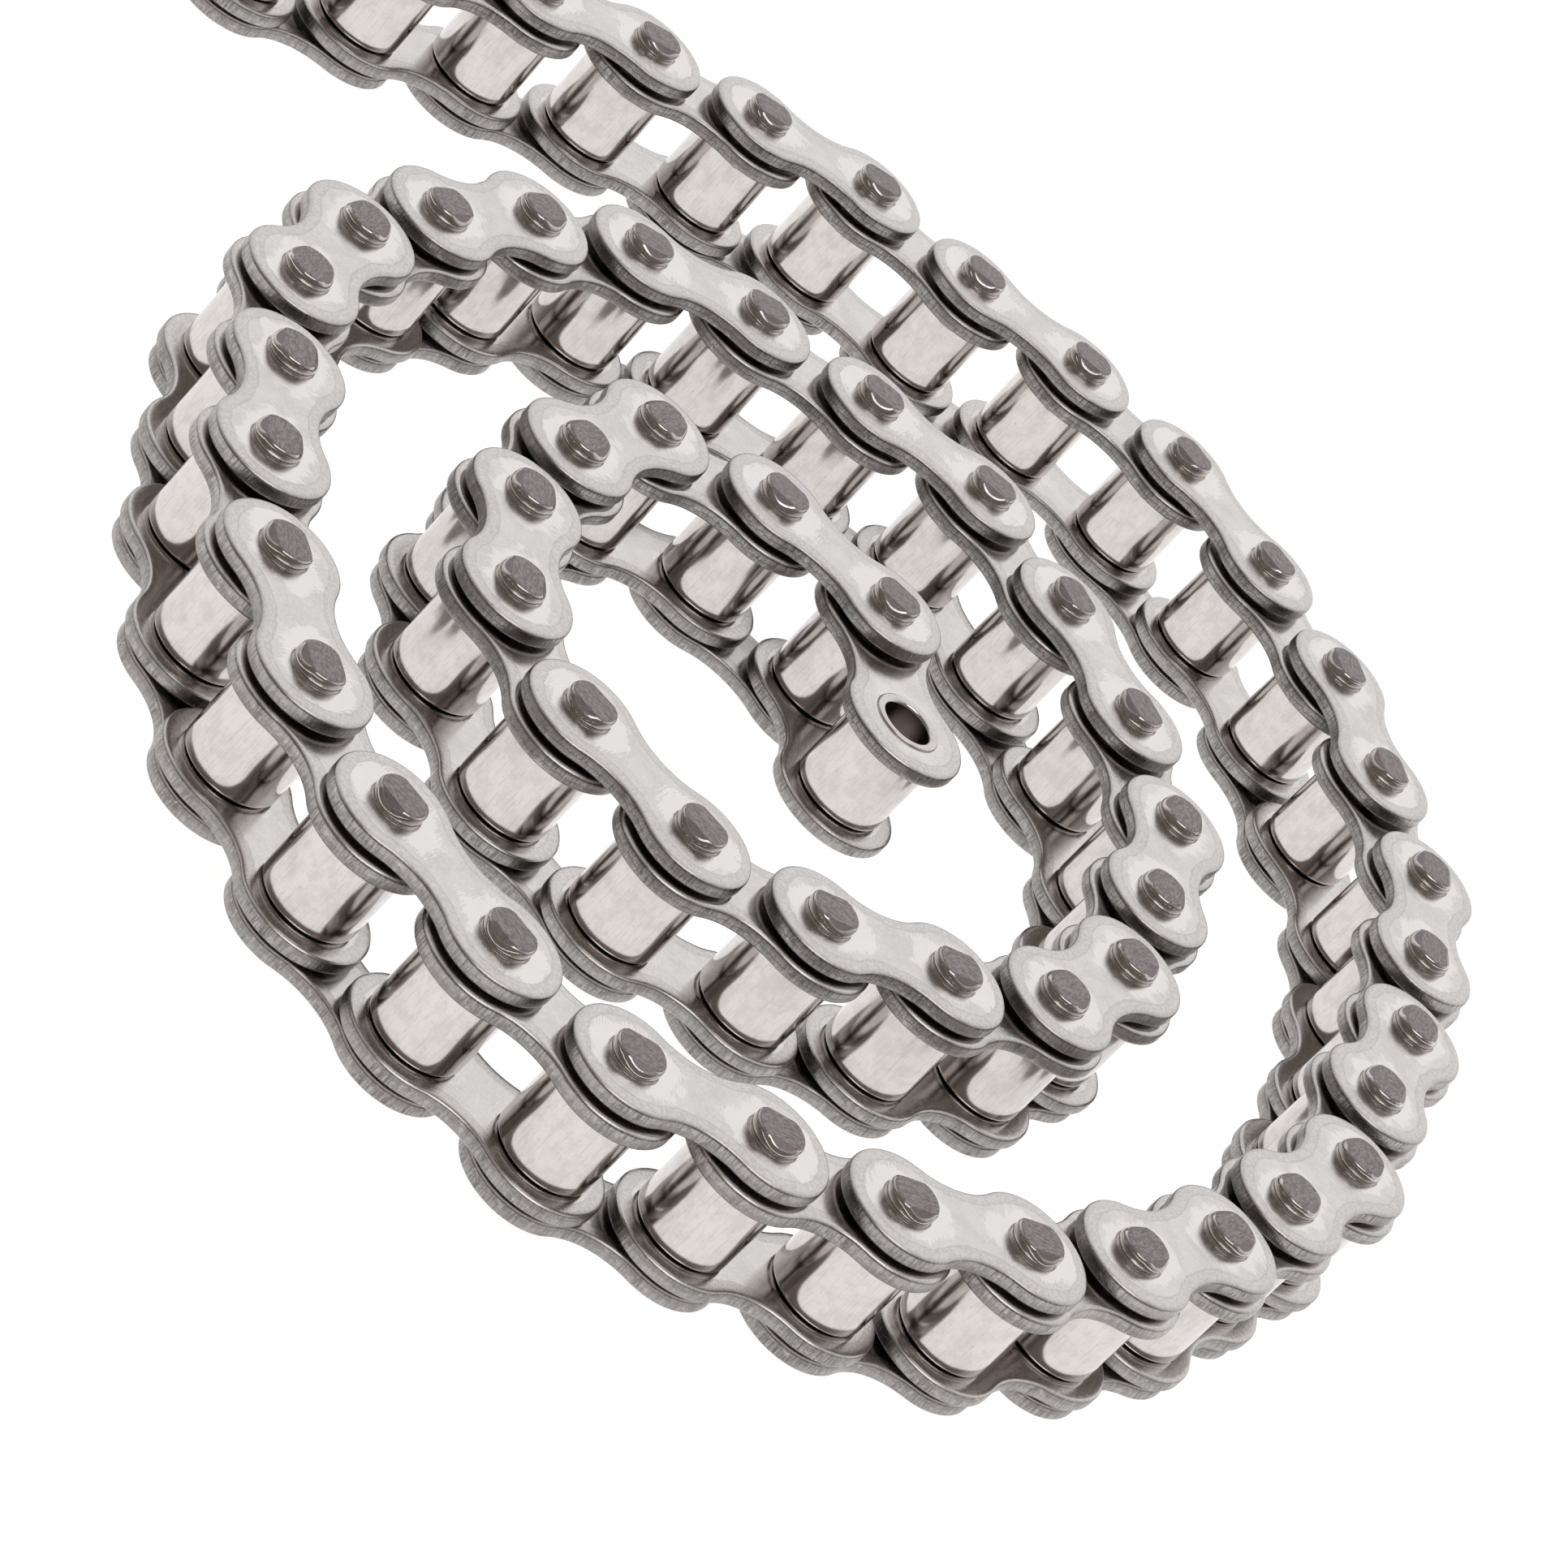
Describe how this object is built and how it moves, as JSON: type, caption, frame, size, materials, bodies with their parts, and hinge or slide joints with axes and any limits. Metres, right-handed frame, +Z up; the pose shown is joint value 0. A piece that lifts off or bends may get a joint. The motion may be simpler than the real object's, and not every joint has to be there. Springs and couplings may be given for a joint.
{
  "type": "roller chain",
  "caption": "Simplex roller chain of 12.7 mm pitch, left as a loose coil on its side, with inner and outer links hinged on riveted pins.",
  "frame": {"origin": "middle of the coil's bounding box, on the ground under the lower pin ends", "axes": "+Z up along the pins' axes; the coil lies flat in X and Y; the first link, with the open bush at the coil's inner end, points along +Y"},
  "size_m": [0.1402, 0.1552, 0.0167],
  "materials": {
    "plate": "satin, vibration-polished stainless steel plate",
    "bush": "polished stainless steel",
    "roller": "polished stainless steel with faint drawn lines",
    "inner_link": "satin stainless plates with polished bushes and rollers",
    "outer_link": "satin stainless plates with polished riveted pins"
  },
  "bodies": {
    "inner_link_01": {"first_inner_plate_upper": "plate", "first_inner_plate_lower": "plate", "first_bush_open": "bush", "first_bush_pinned": "bush"},
    "outer_link_01": {"outer_link_01": "outer_link"},
    "inner_link_02": {"inner_link_02": "inner_link"},
    "outer_link_02": {"outer_link_02": "outer_link"},
    "inner_link_03": {"inner_link_03": "inner_link"},
    "outer_link_03": {"outer_link_03": "outer_link"},
    "inner_link_04": {"inner_link_04": "inner_link"},
    "outer_link_04": {"outer_link_04": "outer_link"},
    "inner_link_05": {"inner_link_05": "inner_link"},
    "outer_link_05": {"outer_link_05": "outer_link"},
    "inner_link_06": {"inner_link_06": "inner_link"},
    "outer_link_06": {"outer_link_06": "outer_link"},
    "inner_link_07": {"inner_link_07": "inner_link"},
    "outer_link_07": {"outer_link_07": "outer_link"},
    "inner_link_08": {"inner_link_08": "inner_link"},
    "outer_link_08": {"outer_link_08": "outer_link"},
    "inner_link_09": {"inner_link_09": "inner_link"},
    "outer_link_09": {"outer_link_09": "outer_link"},
    "inner_link_10": {"inner_link_10": "inner_link"},
    "outer_link_10": {"outer_link_10": "outer_link"},
    "inner_link_11": {"inner_link_11": "inner_link"},
    "outer_link_11": {"outer_link_11": "outer_link"},
    "inner_link_12": {"inner_link_12": "inner_link"},
    "outer_link_12": {"outer_link_12": "outer_link"},
    "inner_link_13": {"inner_link_13": "inner_link"},
    "outer_link_13": {"outer_link_13": "outer_link"},
    "inner_link_14": {"inner_link_14": "inner_link"},
    "outer_link_14": {"outer_link_14": "outer_link"},
    "inner_link_15": {"inner_link_15": "inner_link"},
    "outer_link_15": {"outer_link_15": "outer_link"},
    "inner_link_16": {"inner_link_16": "inner_link"},
    "outer_link_16": {"outer_link_16": "outer_link"},
    "inner_link_17": {"inner_link_17": "inner_link"},
    "outer_link_17": {"outer_link_17": "outer_link"},
    "inner_link_18": {"inner_link_18": "inner_link"},
    "outer_link_18": {"outer_link_18": "outer_link"},
    "inner_link_19": {"inner_link_19": "inner_link"},
    "outer_link_19": {"outer_link_19": "outer_link"},
    "inner_link_20": {"inner_link_20": "inner_link"},
    "outer_link_20": {"outer_link_20": "outer_link"},
    "inner_link_21": {"inner_link_21": "inner_link"},
    "outer_link_21": {"outer_link_21": "outer_link"},
    "inner_link_22": {"inner_link_22": "inner_link"},
    "outer_link_22": {"outer_link_22": "outer_link"},
    "inner_link_23": {"inner_link_23": "inner_link"},
    "outer_link_23": {"outer_link_23": "outer_link"},
    "inner_link_24": {"inner_link_24": "inner_link"},
    "outer_link_24": {"outer_link_24": "outer_link"},
    "inner_link_25": {"inner_link_25": "inner_link"},
    "outer_link_25": {"outer_link_25": "outer_link"},
    "inner_link_26": {"inner_link_26": "inner_link"},
    "outer_link_26": {"outer_link_26": "outer_link"},
    "inner_link_27": {"inner_link_27": "inner_link"},
    "outer_link_27": {"outer_link_27": "outer_link"},
    "inner_link_28": {"inner_link_28": "inner_link"},
    "first_roller_open": {"first_roller_open": "roller"},
    "first_roller_pinned": {"first_roller_pinned": "roller"}
  },
  "joints": [
    {"name": "pin_01", "type": "hinge", "parent": "outer_link_01", "child": "inner_link_01", "pos_m": [0.00277, 0.00326, 0.00835], "axis": [0, 0, 1], "range_deg": [-45, 75]},
    {"name": "pin_02", "type": "hinge", "parent": "inner_link_02", "child": "outer_link_01", "pos_m": [-0.00763, 0.01054, 0.00835], "axis": [0, 0, -1], "range_deg": [-50, 30]},
    {"name": "pin_03", "type": "hinge", "parent": "outer_link_02", "child": "inner_link_02", "pos_m": [-0.02014, 0.01275, 0.00835], "axis": [0, 0, 1], "range_deg": [-30, 43]},
    {"name": "pin_04", "type": "hinge", "parent": "inner_link_03", "child": "outer_link_02", "pos_m": [-0.02987, 0.00459, 0.00835], "axis": [0, 0, -1], "range_deg": [-38, 30]},
    {"name": "pin_05", "type": "hinge", "parent": "outer_link_03", "child": "inner_link_03", "pos_m": [-0.03715, -0.00582, 0.00835], "axis": [0, 0, 1], "range_deg": [-30, 31]},
    {"name": "pin_06", "type": "hinge", "parent": "inner_link_04", "child": "outer_link_03", "pos_m": [-0.04044, -0.01808, 0.00835], "axis": [0, 0, -1], "range_deg": [-21, 25]},
    {"name": "pin_07", "type": "hinge", "parent": "outer_link_04", "child": "inner_link_04", "pos_m": [-0.0361, -0.03002, 0.00835], "axis": [0, 0, 1], "range_deg": [-24, 20]},
    {"name": "pin_08", "type": "hinge", "parent": "inner_link_05", "child": "outer_link_04", "pos_m": [-0.02712, -0.039, 0.00835], "axis": [0, 0, -1], "range_deg": [-23, 20]},
    {"name": "pin_09", "type": "hinge", "parent": "outer_link_05", "child": "inner_link_05", "pos_m": [-0.01485, -0.04229, 0.00835], "axis": [0, 0, 1], "range_deg": [-20, 25]},
    {"name": "pin_10", "type": "hinge", "parent": "inner_link_06", "child": "outer_link_05", "pos_m": [-0.00215, -0.04229, 0.00835], "axis": [0, 0, -1], "range_deg": [-34, 21]},
    {"name": "pin_11", "type": "hinge", "parent": "outer_link_06", "child": "inner_link_06", "pos_m": [0.01012, -0.039, 0.00835], "axis": [0, 0, 1], "range_deg": [-21, 32]},
    {"name": "pin_12", "type": "hinge", "parent": "inner_link_07", "child": "outer_link_06", "pos_m": [0.01985, -0.03083, 0.00835], "axis": [0, 0, -1], "range_deg": [-26, 19]},
    {"name": "pin_13", "type": "hinge", "parent": "outer_link_07", "child": "inner_link_07", "pos_m": [0.0262, -0.01984, 0.00835], "axis": [0, 0, 1], "range_deg": [-18, 24]},
    {"name": "pin_14", "type": "hinge", "parent": "inner_link_08", "child": "outer_link_07", "pos_m": [0.03156, -0.00833, 0.00835], "axis": [0, 0, -1], "range_deg": [-19, 16]},
    {"name": "pin_15", "type": "hinge", "parent": "outer_link_08", "child": "inner_link_08", "pos_m": [0.03046, 0.00433, 0.00835], "axis": [0, 0, 1], "range_deg": [-15, 16]},
    {"name": "pin_16", "type": "hinge", "parent": "inner_link_09", "child": "outer_link_08", "pos_m": [0.02611, 0.01626, 0.00835], "axis": [0, 0, -1], "range_deg": [-15, 14]},
    {"name": "pin_17", "type": "hinge", "parent": "outer_link_09", "child": "inner_link_09", "pos_m": [0.01976, 0.02726, 0.00835], "axis": [0, 0, 1], "range_deg": [-11, 15]},
    {"name": "pin_18", "type": "hinge", "parent": "inner_link_10", "child": "outer_link_09", "pos_m": [0.00825, 0.03263, 0.00835], "axis": [0, 0, -1], "range_deg": [-17, 10]},
    {"name": "pin_19", "type": "hinge", "parent": "outer_link_10", "child": "inner_link_10", "pos_m": [-0.00368, 0.03697, 0.00835], "axis": [0, 0, 1], "range_deg": [-11, 19]},
    {"name": "pin_20", "type": "hinge", "parent": "inner_link_11", "child": "outer_link_10", "pos_m": [-0.01633, 0.03808, 0.00835], "axis": [0, 0, -1], "range_deg": [-28, 11]},
    {"name": "pin_21", "type": "hinge", "parent": "outer_link_11", "child": "inner_link_11", "pos_m": [-0.0286, 0.03479, 0.00835], "axis": [0, 0, 1], "range_deg": [-11, 30]},
    {"name": "pin_22", "type": "hinge", "parent": "inner_link_12", "child": "outer_link_11", "pos_m": [-0.0396, 0.02844, 0.00835], "axis": [0, 0, -1], "range_deg": [-27, 13]},
    {"name": "pin_23", "type": "hinge", "parent": "outer_link_12", "child": "inner_link_12", "pos_m": [-0.04933, 0.02028, 0.00835], "axis": [0, 0, 1], "range_deg": [-16, 26]},
    {"name": "pin_24", "type": "hinge", "parent": "inner_link_13", "child": "outer_link_12", "pos_m": [-0.05661, 0.00987, 0.00835], "axis": [0, 0, -1], "range_deg": [-24, 21]},
    {"name": "pin_25", "type": "hinge", "parent": "outer_link_13", "child": "inner_link_13", "pos_m": [-0.0599, -0.0024, 0.00835], "axis": [0, 0, 1], "range_deg": [-18, 24]},
    {"name": "pin_26", "type": "hinge", "parent": "inner_link_14", "child": "outer_link_13", "pos_m": [-0.06319, -0.01466, 0.00835], "axis": [0, 0, -1], "range_deg": [-25, 14]},
    {"name": "pin_27", "type": "hinge", "parent": "outer_link_14", "child": "inner_link_14", "pos_m": [-0.06429, -0.02731, 0.00835], "axis": [0, 0, 1], "range_deg": [-11, 27]},
    {"name": "pin_28", "type": "hinge", "parent": "outer_link_14", "child": "inner_link_15", "pos_m": [-0.06319, -0.03997, 0.00835], "axis": [0, 0, 1], "range_deg": [-29, 9]},
    {"name": "pin_29", "type": "hinge", "parent": "inner_link_15", "child": "outer_link_15", "pos_m": [-0.05782, -0.05148, 0.00835], "axis": [0, 0, -1], "range_deg": [-9, 36]},
    {"name": "pin_30", "type": "hinge", "parent": "outer_link_15", "child": "inner_link_16", "pos_m": [-0.04966, -0.0612, 0.00835], "axis": [0, 0, 1], "range_deg": [-50, 9]},
    {"name": "pin_31", "type": "hinge", "parent": "inner_link_16", "child": "outer_link_16", "pos_m": [-0.03925, -0.06849, 0.00835], "axis": [0, 0, -1], "range_deg": [-9, 50]},
    {"name": "pin_32", "type": "hinge", "parent": "outer_link_16", "child": "inner_link_17", "pos_m": [-0.02675, -0.07069, 0.00835], "axis": [0, 0, 1], "range_deg": [-50, 10]},
    {"name": "pin_33", "type": "hinge", "parent": "inner_link_17", "child": "outer_link_17", "pos_m": [-0.01409, -0.0718, 0.00835], "axis": [0, 0, -1], "range_deg": [-11, 50]},
    {"name": "pin_34", "type": "hinge", "parent": "outer_link_17", "child": "inner_link_18", "pos_m": [-0.00144, -0.07069, 0.00835], "axis": [0, 0, 1], "range_deg": [-50, 12]},
    {"name": "pin_35", "type": "hinge", "parent": "inner_link_18", "child": "outer_link_18", "pos_m": [0.01049, -0.06635, 0.00835], "axis": [0, 0, -1], "range_deg": [-13, 50]},
    {"name": "pin_36", "type": "hinge", "parent": "outer_link_18", "child": "inner_link_19", "pos_m": [0.02149, -0.06, 0.00835], "axis": [0, 0, 1], "range_deg": [-50, 16]},
    {"name": "pin_37", "type": "hinge", "parent": "inner_link_19", "child": "outer_link_19", "pos_m": [0.03122, -0.05184, 0.00835], "axis": [0, 0, -1], "range_deg": [-20, 50]},
    {"name": "pin_38", "type": "hinge", "parent": "outer_link_19", "child": "inner_link_20", "pos_m": [0.04095, -0.04367, 0.00835], "axis": [0, 0, 1], "range_deg": [-50, 21]},
    {"name": "pin_39", "type": "hinge", "parent": "inner_link_20", "child": "outer_link_20", "pos_m": [0.0473, -0.03268, 0.00835], "axis": [0, 0, -1], "range_deg": [-19, 50]},
    {"name": "pin_40", "type": "hinge", "parent": "outer_link_20", "child": "inner_link_21", "pos_m": [0.05458, -0.02227, 0.00835], "axis": [0, 0, 1], "range_deg": [-50, 18]},
    {"name": "pin_41", "type": "hinge", "parent": "inner_link_21", "child": "outer_link_21", "pos_m": [0.05995, -0.01076, 0.00835], "axis": [0, 0, -1], "range_deg": [-16, 50]},
    {"name": "pin_42", "type": "hinge", "parent": "outer_link_21", "child": "inner_link_22", "pos_m": [0.06429, 0.00117, 0.00835], "axis": [0, 0, 1], "range_deg": [-50, 15]},
    {"name": "pin_43", "type": "hinge", "parent": "inner_link_22", "child": "outer_link_22", "pos_m": [0.06319, 0.01382, 0.00835], "axis": [0, 0, -1], "range_deg": [-16, 50]},
    {"name": "pin_44", "type": "hinge", "parent": "outer_link_22", "child": "inner_link_23", "pos_m": [0.06208, 0.02648, 0.00835], "axis": [0, 0, 1], "range_deg": [-50, 16]},
    {"name": "pin_45", "type": "hinge", "parent": "inner_link_23", "child": "outer_link_23", "pos_m": [0.05671, 0.03799, 0.00835], "axis": [0, 0, -1], "range_deg": [-16, 90]},
    {"name": "pin_46", "type": "hinge", "parent": "outer_link_23", "child": "inner_link_24", "pos_m": [0.04943, 0.04839, 0.00835], "axis": [0, 0, 1], "range_deg": [-90, 17]},
    {"name": "pin_47", "type": "hinge", "parent": "inner_link_24", "child": "outer_link_24", "pos_m": [0.03902, 0.05567, 0.00835], "axis": [0, 0, -1], "range_deg": [-19, 90]},
    {"name": "pin_48", "type": "hinge", "parent": "outer_link_24", "child": "inner_link_25", "pos_m": [0.02751, 0.06104, 0.00835], "axis": [0, 0, 1], "range_deg": [-90, 22]},
    {"name": "pin_49", "type": "hinge", "parent": "inner_link_25", "child": "outer_link_25", "pos_m": [0.01652, 0.06739, 0.00835], "axis": [0, 0, -1], "range_deg": [-26, 90]},
    {"name": "pin_50", "type": "hinge", "parent": "outer_link_25", "child": "inner_link_26", "pos_m": [0.00401, 0.0696, 0.00835], "axis": [0, 0, 1], "range_deg": [-90, 30]},
    {"name": "pin_51", "type": "hinge", "parent": "inner_link_26", "child": "outer_link_26", "pos_m": [-0.0085, 0.0718, 0.00835], "axis": [0, 0, -1], "range_deg": [-37, 90]},
    {"name": "pin_52", "type": "hinge", "parent": "outer_link_26", "child": "inner_link_27", "pos_m": [-0.0212, 0.0718, 0.00835], "axis": [0, 0, 1], "range_deg": [-90, 51]},
    {"name": "pin_53", "type": "hinge", "parent": "inner_link_27", "child": "outer_link_27", "pos_m": [-0.03385, 0.07069, 0.00835], "axis": [0, 0, -1], "range_deg": [-83, 90]},
    {"name": "pin_54", "type": "hinge", "parent": "outer_link_27", "child": "inner_link_28", "pos_m": [-0.0465, 0.06959, 0.00835], "axis": [0, 0, 1], "range_deg": [-90, 90]},
    {"name": "first_roller_open_spin", "type": "hinge", "parent": "inner_link_01", "child": "first_roller_open", "pos_m": [0.00277, -0.00944, 0.00835], "axis": [0, 0, 1], "continuous": true},
    {"name": "first_roller_pinned_spin", "type": "hinge", "parent": "inner_link_01", "child": "first_roller_pinned", "pos_m": [0.00277, 0.00326, 0.00835], "axis": [0, 0, 1], "continuous": true}
  ]
}
